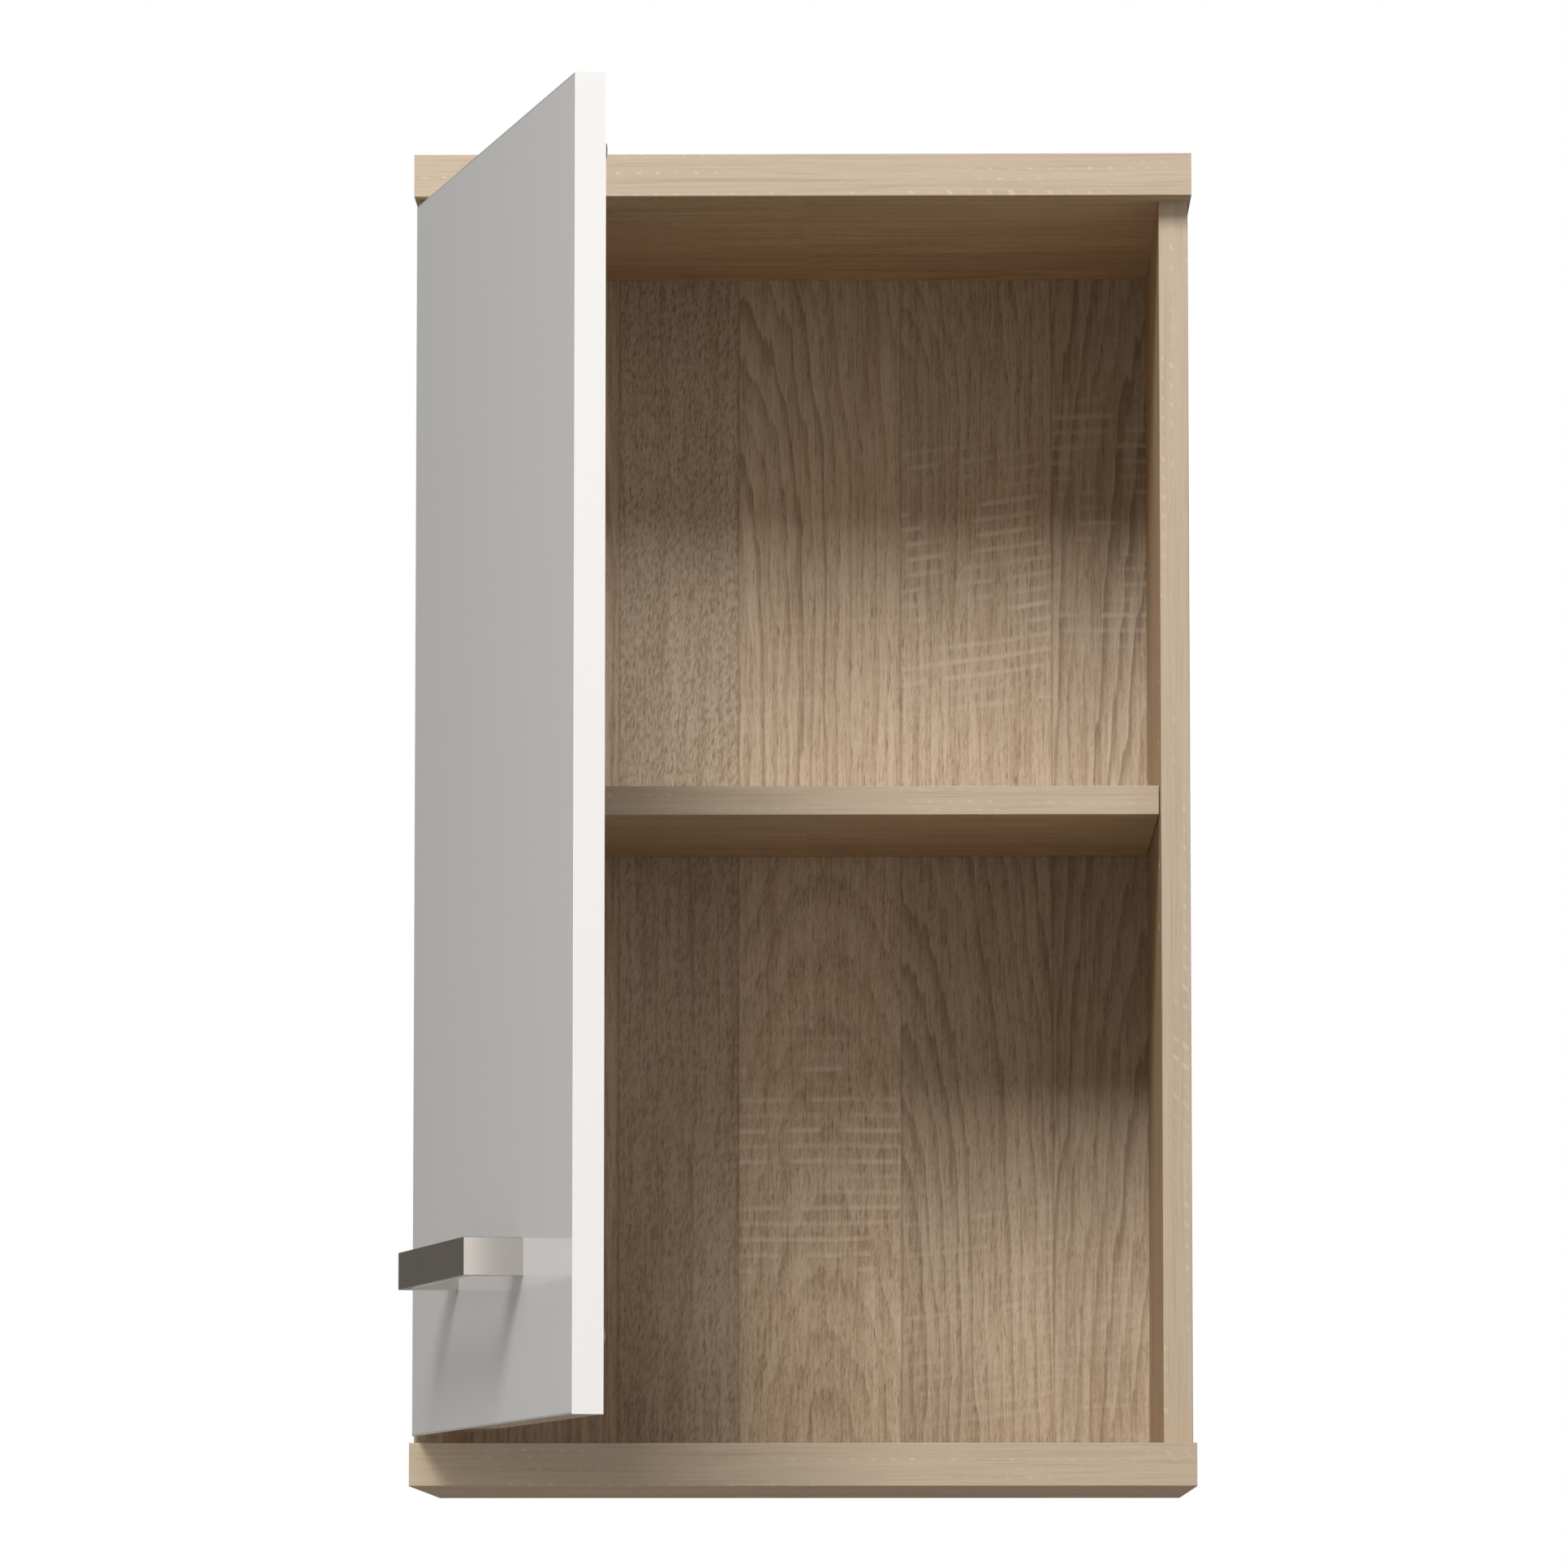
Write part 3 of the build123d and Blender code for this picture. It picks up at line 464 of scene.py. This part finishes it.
# the door's own directions, from its joint
joints = {joint["name"]: joint for joint in frame["joints"]}
couplings = {row["joint"]: row["ratio"] for row in frame["record"]["behaviour"]["couplings"]}
openAngle = radians(-joints["door_swing"]["range_deg"][0] * (1 + couplings["outer_link_swing"]))
doorOut = Vector((-sin(openAngle), -cos(openAngle), 0))  # out of the door's outer face
doorFace = max(doorOut.dot(v.co) for v in nodes["door_panel"].data.vertices)

gloss = {
    "white": (0.92, 0.925, 0.935),
    # edge: the door's own white, greyed well below the face's white as painted shade that dims the brightly lit
    # front-facing edge band
    "edge": (0.68, 0.667, 0.66),
    "inside": (0.77, 0.765, 0.755),
    "smooth": 0.12,
    "insideRough": 0.38,
    "coatSmooth": 0.02,
    "bending": 1.45,
    "board": 0.015,  # in m
    "foilLine": (0.0004, 0.0001),  # m short of the inner face, where its finish starts and is full
    "peel": 0.35,  # changes per mm
    "grit": 1.3,
    "relief": 0.08,
    "reliefDepth": 0.0001,
}


def whiteGloss(name, outside):
    coat = {"Coat_Weight": 1.0, "Coat_Roughness": gloss["coatSmooth"], "IOR": gloss["bending"]}
    finish = Finish(name, gloss["smooth"], **coat)
    forward = finish.dot(finish.place, doorOut)
    inside = finish.smooth(doorFace - forward, *[gloss["board"] - short for short in gloss["foilLine"]])
    ripple = finish.noise(finish.x * 0.05, finish.y * 0.05, finish.z * 0.03, 2.0)
    peel = finish.noise(*[way * gloss["peel"] for way in (finish.x, finish.y, finish.z)], 2.0)
    grit = finish.noise(*[way * gloss["grit"] for way in (finish.x, finish.y, finish.z)], 3.0)
    white = finish.blend(ripple * 0.5, outside, [part * 1.02 for part in outside])
    finish.set(
        Base_Color=finish.blend(inside, white, gloss["inside"]),
        Roughness=inside * (gloss["insideRough"] - gloss["smooth"]) + gloss["smooth"] + peel * 0.03,
        Normal=finish.bump(peel * (1 - inside) * 0.4 + grit * inside, gloss["relief"], gloss["reliefDepth"]),
    )
    return finish.material


# dull: the darkest share of the tone; rough and brush: how matt, and by how much that varies;
# stretch: changes per mm along x, y and z
metals = {
    "satinHandle": {
        "tone": (0.60, 0.563, 0.53), "dull": 0.93, "rough": 0.25, "brush": 0.03, "stretch": (1.5, 1.5, 0.04),
        "relief": 0.012,
    },
    "nickelPlate": {
        "tone": (0.63, 0.605, 0.56), "dull": 0.82, "rough": 0.24, "brush": 0.08, "stretch": (0.4, 0.4, 0.4),
        "relief": 0.06,
    },
    "zincPlatedSteel": {
        "tone": (0.58, 0.585, 0.59), "dull": 0.82, "rough": 0.34, "brush": 0.14, "stretch": (0.7, 0.7, 0.7),
        "relief": 0.06,
    },
    "castZinc": {
        "tone": (0.47, 0.475, 0.48), "dull": 0.82, "rough": 0.5, "brush": 0.2, "stretch": (1.4, 1.4, 1.4),
        "relief": 0.06,
    },
}


def metal(name):
    parts = metals[name]
    finish = Finish(name, parts["rough"], 1.0)
    across, depth, along = parts["stretch"]
    brush = finish.noise(finish.x * across, finish.y * depth, finish.z * along, 4.0, 0.6)
    smear = finish.noise(finish.x * 0.06, finish.y * 0.06, finish.z * 0.08, 2.0)
    dull = [parts["dull"] * part for part in parts["tone"]]
    finish.set(
        Base_Color=finish.blend(brush * 0.5 + smear * 0.3, dull, parts["tone"]),
        Roughness=(brush + smear - 1) * parts["brush"] + parts["rough"],
        Normal=finish.bump(brush, parts["relief"], 0.0001),
    )
    return finish.material


beechWood = {"deep": (0.50, 0.31, 0.16), "light": (0.68, 0.47, 0.28), "fleck": (0.34, 0.19, 0.09), "matt": 0.6}


def beech():
    finish = Finish("plainBeech", beechWood["matt"])
    fibre = finish.noise(finish.x * 0.9, finish.y * 0.9, finish.z * 0.05, 4.0, 0.6)
    fleck = finish.smooth(finish.noise(finish.x * 2.0, finish.y * 2.0, finish.z * 0.4, 2.0), 0.6, 0.7)
    wood = finish.blend(fibre, beechWood["deep"], beechWood["light"])
    finish.set(
        Base_Color=finish.blend(fleck * 0.5, wood, beechWood["fleck"]),
        Normal=finish.bump(fibre, 0.2, 0.0002),
    )
    return finish.material


bumper = {
    "deep": (0.72, 0.73, 0.72),
    "light": (0.82, 0.82, 0.80),
    "clear": 0.55,
    "bending": 1.48,
    "smooth": 0.22,
}


def softBumper():
    finish = Finish("clearBumper", bumper["smooth"], Transmission_Weight=bumper["clear"], IOR=bumper["bending"])
    cloud = finish.noise(finish.x * 0.5, finish.y * 0.5, finish.z * 0.5, 2.0)
    finish.set(
        Base_Color=finish.blend(cloud, bumper["deep"], bumper["light"]),
        Roughness=cloud * 0.15 + bumper["smooth"],
    )
    return finish.material


def dress(material, *names):
    for name in names:
        slots = nodes[name].data.materials
        slots.clear()
        slots.append(material)


rear = cadBox[1].y * perMetre
dress(oakBack(), "back_panel")
dress(oakBoard("oakAcross", "y", "x", 20, rear), "top_panel", "bottom_panel")
dress(oakBoard("oakShelf", "y", "x", 40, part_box("shelf")[1].y * perMetre), "shelf")
dress(oakBoard("oakUpright", "y", "z", 60, rear), "left_side_panel", "right_side_panel")
dress(oakTape("oakTapeRound", "z", "round", 3), "top_edge_band", "bottom_edge_band")
dress(oakTape("oakTapeShelf", "z", "x", 15), "shelf_edge_band")
dress(oakTape("oakTapeUpright", "x", "z", 27), "left_side_edge_band", "right_side_edge_band")
dress(whiteGloss("whiteGlossFoil", gloss["white"]), "door_panel")
# the edge band gets a greyed copy of the white gloss: painted shade on the front-lit edge
dress(whiteGloss("whiteGlossEdge", gloss["edge"]), "door_edge_band")
dress(metal("satinHandle"), "handle")
nickelPlate = metal("nickelPlate")
zincPlated = metal("zincPlatedSteel")
for place in ("lower", "upper"):
    for part in ("mounting_plate", "hinge_arm", "outer_link", "inner_link", "hinge_cup"):
        dress(nickelPlate, f"{place}_{part}")
dress(nickelPlate, "arm_pins", "cup_pins")
dress(zincPlated, "shelf_pins", "cam_bolts", "left_wall_hanger", "right_wall_hanger", "hanger_screws",
      "hinge_plate_screws", "arm_fixing_screws", "side_adjusting_screws", "hinge_cup_screws", "handle_screws")
dress(metal("castZinc"), "cam_locks")
dowelBeech = beech()
dress(dowelBeech, "corner_dowels")
dress(softBumper(), "door_bumpers")
print("finishes made")


# a geometry nodes tree that plants one shape on every seat
class Shape(NodeTree):
    def __init__(self, name, sizes):
        super().__init__(bpy.data.node_groups.new(name, "GeometryNodeTree"))
        sockets = {"Seats": "NodeSocketGeometry", **{size: "NodeSocketFloat" for size in sizes}}
        for size, kind in {**sockets, "Rings": "NodeSocketInt", "Coat": "NodeSocketMaterial"}.items():
            self.tree.interface.new_socket(size, in_out="INPUT", socket_type=kind)
        self.tree.interface.new_socket("Shape", in_out="OUTPUT", socket_type="NodeSocketGeometry")
        entry = self.tree.nodes.new("NodeGroupInput")
        self.given = {socket.name: Value(self, socket) for socket in entry.outputs if socket.name}
        place = self.node("GeometryNodeInputPosition")
        self.x, self.y, self.z = [self.node("ShaderNodeSeparateXYZ", {}, {0: place}, axis) for axis in "XYZ"]

    def cylinder(self, sides, rings, rounds, radius, depth):
        counts = {"Vertices": sides, "Side Segments": rings, "Fill Segments": rounds}
        return self.node("GeometryNodeMeshCylinder", {}, {**counts, "Radius": radius, "Depth": depth})

    def moved(self, mesh, x, y, z):
        return self.node("GeometryNodeSetPosition", {}, {"Geometry": mesh, "Position": self.point(x, y, z)})

    def joined(self, *meshes):
        join = self.tree.nodes.new("GeometryNodeJoinGeometry")
        for mesh in meshes:
            self.tree.links.new(mesh.socket, join.inputs[0])
        return Value(self, join.outputs[0])

    def planted(self, mesh, seed):
        # one copy on each seat, its top towards the seat's own direction, turned at random about it
        out = self.node("GeometryNodeInputNamedAttribute", {"data_type": "FLOAT_VECTOR"}, {"Name": "out"})
        upright = self.node("FunctionNodeAlignRotationToVector", {"axis": "Z"}, {"Vector": out})
        spin = self.node("FunctionNodeRandomValue", {"data_type": "FLOAT"}, {}, 1)
        chooser = spin.socket.node
        for socket, value in ((2, 0.0), (3, pi / 2), ("Seed", seed)):  # from no turn to a quarter turn
            self.feed(chooser.inputs[socket], value)
        turn = self.node("FunctionNodeEulerToRotation", {}, {0: self.point(0.0, 0.0, spin)})
        facing = self.node("FunctionNodeRotateRotation", {"rotation_space": "LOCAL"}, {0: upright, 1: turn})
        inputs = {"Points": self.given["Seats"], "Instance": mesh, "Rotation": facing}
        copies = self.node("GeometryNodeInstanceOnPoints", {}, inputs)
        solid = self.node("GeometryNodeRealizeInstances", {}, {0: copies})
        coated = self.node("GeometryNodeSetMaterial", {}, {"Geometry": solid, "Material": self.given["Coat"]})
        leave = self.tree.nodes.new("NodeGroupOutput")
        self.tree.links.new(coated.socket, leave.inputs[0])


screw = {
    "root": 0.76,  # thread's root, as a share of its crest
    "tip": 0.4,
    "tipLength": 1.3,
    "dome": 0.42,  # how far the rim of the head falls, as a share of its height
    "crossLength": 1.15,  # recess, in head radii
    "crossWidth": 0.26,
    "crossDepth": 0.62,  # in head heights
    "plain": 1.2,  # mm under the head without thread
    "flank": (0.15, 0.8),  # thread's slope, as shares of its height
    "overlap": 0.1,  # mm that the shank reaches into the head
    "spareTurns": 200,  # keeps the count of turns above zero
    "sides": 20,
    "headSides": 40,
    "ringsEachTurn": 7,
    "seed": 4,
}


def screwTree():
    names = ["Shank", "Length", "Head", "Height", "Pitch"]
    shape = Shape("crossHeadScrew", names)
    shank, length, head, height, pitch = [shape.given[key] for key in names]
    rod = shape.cylinder(screw["sides"], shape.given["Rings"], 1, shank, length)
    angle = shape.maths("ARCTAN2", shape.y, shape.x) / (2 * pi)
    turn = shape.maths("FRACT", shape.z / pitch - angle + screw["spareTurns"])
    crest = 1 - shape.maths("ABSOLUTE", turn * 2 - 1)
    under = shape.smooth(length * 0.5 - shape.z, 0.0, screw["plain"] * mm)
    thread = 1 - (1 - shape.smooth(crest, *screw["flank"])) * under * (1 - screw["root"])
    tip = shape.smooth(shape.z + length * 0.5, 0.0, screw["tipLength"] * mm) * (1 - screw["tip"]) + screw["tip"]
    girth = thread * tip
    rod = shape.moved(rod, shape.x * girth, shape.y * girth, shape.z - length * 0.5 + screw["overlap"] * mm)
    cap = shape.cylinder(screw["headSides"], 3, 6, head, height)
    reach = (shape.x * shape.x + shape.y * shape.y) / (head * head)
    fallen = (shape.z / height + 0.5) * (1 - reach * screw["dome"])
    cap = shape.moved(cap, shape.x, shape.y, fallen * height)
    half = head * screw["crossLength"]
    slim = head * screw["crossWidth"]
    drop = height * screw["crossDepth"] * 2
    cutting = {"operation": "DIFFERENCE", "solver": "EXACT"}
    for wide, deep in ((half, slim), (slim, half)):
        bar = shape.node("GeometryNodeMeshCube", {}, {"Size": shape.point(wide, deep, drop)})
        bar = shape.node("GeometryNodeTransform", {}, {0: bar, "Translation": shape.point(0.0, 0.0, height)})
        cap = shape.node("GeometryNodeMeshBoolean", cutting, {0: cap, 1: bar})
    shape.planted(shape.joined(rod, cap), screw["seed"])
    return shape.tree


dowel = {
    "flutes": 12,
    "fluteDepth": 0.09,  # as a share of the radius
    "pointed": 0.16,
    "pointLength": 1.4,  # mm
    "sides": 72,
    "rings": 14,
    "seed": 9,
}


def dowelTree():
    shape = Shape("flutedDowel", ["Radius", "Length"])
    radius, length = shape.given["Radius"], shape.given["Length"]
    peg = shape.cylinder(dowel["sides"], shape.given["Rings"], 1, radius, length)
    angle = shape.maths("ARCTAN2", shape.y, shape.x)
    groove = (1 - shape.maths("COSINE", angle * dowel["flutes"])) * 0.5
    groove = groove * groove * dowel["fluteDepth"]
    point = dowel["pointLength"] * mm
    end = shape.smooth(shape.maths("ABSOLUTE", shape.z) - length * 0.5 + point, 0.0, point)
    girth = (1 - groove) * (1 - end * dowel["pointed"])
    peg = shape.moved(peg, shape.x * girth, shape.y * girth, shape.z - length * 0.5)
    shape.planted(peg, dowel["seed"])
    return shape.tree


reading = {
    "weld": 1e-6,
    "rim": 0.95,  # of the widest radius
    "shoulder": 1.15,  # of the shank's radius
}


def islands(mesh):
    # the separate solids of a CAD node, as lists of points
    work = bmesh.new()
    work.from_mesh(mesh)
    bmesh.ops.remove_doubles(work, verts=work.verts, dist=reading["weld"])
    left, found = set(work.verts), []
    while left:
        first = min(left, key=lambda vert: vert.index)
        group, edge = {first}, [first]
        while edge:
            vert = edge.pop()
            for link in vert.link_edges:
                other = link.other_vert(vert)
                if other not in group:
                    group.add(other)
                    edge.append(other)
        left -= group
        found.append([vert.co.copy() for vert in sorted(group, key=lambda vert: vert.index)])
    work.free()
    return found


def measure(points, axis):
    # a turned part about the given axis: where its wide end meets the shank, which way it points, and its sizes
    middle = sum(points, Vector()) / len(points)
    along = [(point - middle).dot(axis) for point in points]
    apart = [((point - middle) - axis * run).length for point, run in zip(points, along)]
    wide = max(apart)
    out = 1 if sum(run for run, gap in zip(along, apart) if gap > reading["rim"] * wide) >= 0 else -1
    runs = [run * out for run in along]
    low, high = min(runs), max(runs)
    narrow = max(gap for run, gap in zip(runs, apart) if run < (low + high) / 2)
    headFrom = min([run for run, gap in zip(runs, apart) if gap > narrow * reading["shoulder"]], default=high)
    return middle, axis * out, {"low": low, "high": high, "neck": headFrom, "wide": wide, "narrow": narrow}


def grow(name, tree, nodeName, axis, seatAt, sizes, rings, coat, body):
    found = [measure(points, axis) for points in islands(nodes[nodeName].data)]
    seats = bpy.data.meshes.new(name + "Seats")
    seats.from_pydata([middle + out * size[seatAt] for middle, out, size in found], [], [])
    seats.attributes.new("out", "FLOAT_VECTOR", "POINT").data.foreach_set(
        "vector", [part for middle, out, size in found for part in out])
    carrier = bpy.data.objects.new(name + "Seats", seats)
    scene.collection.objects.link(carrier)
    builder = carrier.modifiers.new("grow", "NODES")
    builder.node_group = tree
    values = {**sizes(found[0][2]), "Rings": rings(found[0][2]), "Coat": coat}
    for socket in tree.interface.items_tree:
        if socket.in_out == "INPUT" and socket.name in values:
            builder[socket.identifier] = values[socket.name]
    grown = carrier.evaluated_get(bpy.context.evaluated_depsgraph_get())
    mesh = bpy.data.meshes.new_from_object(grown)
    mesh.name = name
    carrier.modifiers.remove(builder)
    bpy.data.objects.remove(carrier)
    piece = bpy.data.objects.new(name, mesh)
    scene.collection.objects.link(piece)
    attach(piece, body)
    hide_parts(nodeName)
    print(name, len(found), "pieces,", len(mesh.polygons), "faces")
    return piece


# what each set replaces: body it rides on, way it points, mm between its threads
screwSets = {
    "hangerScrews": ("hanger_screws", "carcass", Vector((1, 0, 0)), 1.8),
    "hingePlateScrews": ("hinge_plate_screws", "carcass", Vector((1, 0, 0)), 1.8),
    "armFixingScrews": ("arm_fixing_screws", "carcass", Vector((1, 0, 0)), 1.0),
    "sideAdjustingScrews": ("side_adjusting_screws", "carcass", Vector((1, 0, 0)), 1.0),
    "hingeCupScrews": ("hinge_cup_screws", "door", doorOut, 1.6),
    "handleScrews": ("handle_screws", "door", doorOut, 0.8),
}

crossHead = screwTree()
for name, (nodeName, body, axis, pitch) in screwSets.items():
    grow(
        name, crossHead, nodeName, axis, "neck",
        lambda size: {"Shank": size["narrow"], "Length": size["neck"] - size["low"], "Head": size["wide"],
                      "Height": size["high"] - size["neck"], "Pitch": pitch * mm},
        lambda size: round((size["neck"] - size["low"]) / (pitch * mm) * screw["ringsEachTurn"]),
        zincPlated, body,
    )
grow("flutedDowels", dowelTree(), "corner_dowels", Vector((0, 0, 1)), "high",
     lambda size: {"Radius": size["wide"], "Length": size["high"] - size["low"]}, lambda size: dowel["rings"],
     dowelBeech, "carcass")
print("screws and dowels grown")


studio = {
    "floorBelow": 0.82,  # the floor lies this far under the cabinet
    "floorSize": 40.0,
    "floorTone": (0.42, 0.415, 0.41),
    "keyFrom": (-0.15, -0.785, 0.61),
    "keyDistance": 6.0,
    "keySize": (1.7, 2.1),
    "keyPower": 356.0,
    "front": 0.21,  # the room's own brightness before and behind the cabinet
    "behind": 0.12,
    "turn": 0.7,  # how gradually the one passes into the other
    "warmth": (1.0, 0.93, 0.80),
    "background": 1.0,
    "cards": [  # reflector cards: where each stands, cosines of its soft edge, how bright it is
        {"towards": (0.43, -0.90, 0.06), "edge": (0.92, 0.985), "glow": 1.35},
        {"towards": (-0.93, -0.36, 0.10), "edge": (0.30, 0.90), "glow": 0.80},
    ],
}


def makeFloor():
    half = studio["floorSize"] / 2
    low = cadBox[0].z - studio["floorBelow"]
    mesh = bpy.data.meshes.new("floor")
    corners = [(-half, -half, low), (half, -half, low), (half, half, low), (-half, half, low)]
    mesh.from_pydata(corners, [], [(0, 1, 2, 3)])
    floor = bpy.data.objects.new("floor", mesh)
    scene.collection.objects.link(floor)
    finish = Finish("paleFloor", 0.7)
    finish.set(Base_Color=colour(studio["floorTone"]))
    mesh.materials.append(finish.material)


def makeKey():
    middle = (cadBox[0] + cadBox[1]) / 2
    away = Vector(studio["keyFrom"]).normalized()
    lamp = bpy.data.lights.new("keySoftbox", "AREA")
    lamp.shape = "RECTANGLE"
    lamp.size, lamp.size_y = studio["keySize"]
    lamp.energy = studio["keyPower"]
    key = bpy.data.objects.new("keySoftbox", lamp)
    key.location = middle + away * studio["keyDistance"]
    key.rotation_euler = away.to_track_quat("Z", "Y").to_euler()
    scene.collection.objects.link(key)


def makeWorld():
    world = bpy.data.worlds.new("studioWhite")
    world.use_nodes = True
    scene.world = world
    shader = Shader(world.node_tree)
    direction = shader.node("ShaderNodeTexCoord", output="Generated")
    depth = shader.node("ShaderNodeSeparateXYZ", {}, {0: direction}, "Y")
    passing = shader.smooth(depth, -studio["turn"], studio["turn"])
    room = passing * (studio["behind"] - studio["front"]) + studio["front"]
    glow = 0.0
    for card in studio["cards"]:
        towards = Vector(card["towards"]).normalized()
        glow = glow + shader.smooth(shader.dot(direction, towards), *card["edge"]) * card["glow"]
    red, green, blue = [room * part + glow for part in studio["warmth"]]
    light = shader.node("ShaderNodeCombineColor", {}, {0: red, 1: green, 2: blue})
    seen = shader.node("ShaderNodeLightPath", output="Is Camera Ray")
    shader.feed(world.node_tree.nodes["Background"].inputs["Color"],
                shader.blend(seen, light, [studio["background"]] * 3))


camera = {
    "place": (0.0538, -4.795, -0.7202),
    "aim": (-0.0138, 0.0, -0.2358),
    "lens": 202.93,
    "sensor": 36.0,
}


def makeCamera():
    lens = bpy.data.cameras.new("viewCamera")
    lens.lens = camera["lens"]
    lens.sensor_width = camera["sensor"]
    lens.clip_end = 100
    eye = bpy.data.objects.new("viewCamera", lens)
    eye.location = camera["place"]
    towards = Vector(camera["aim"]) - Vector(camera["place"])
    eye.rotation_euler = towards.to_track_quat("-Z", "Y").to_euler()
    scene.collection.objects.link(eye)
    scene.camera = eye


makeFloor()
makeKey()
makeWorld()
makeCamera()
scene.view_settings.view_transform = "Standard"
print("stage, light and camera set")
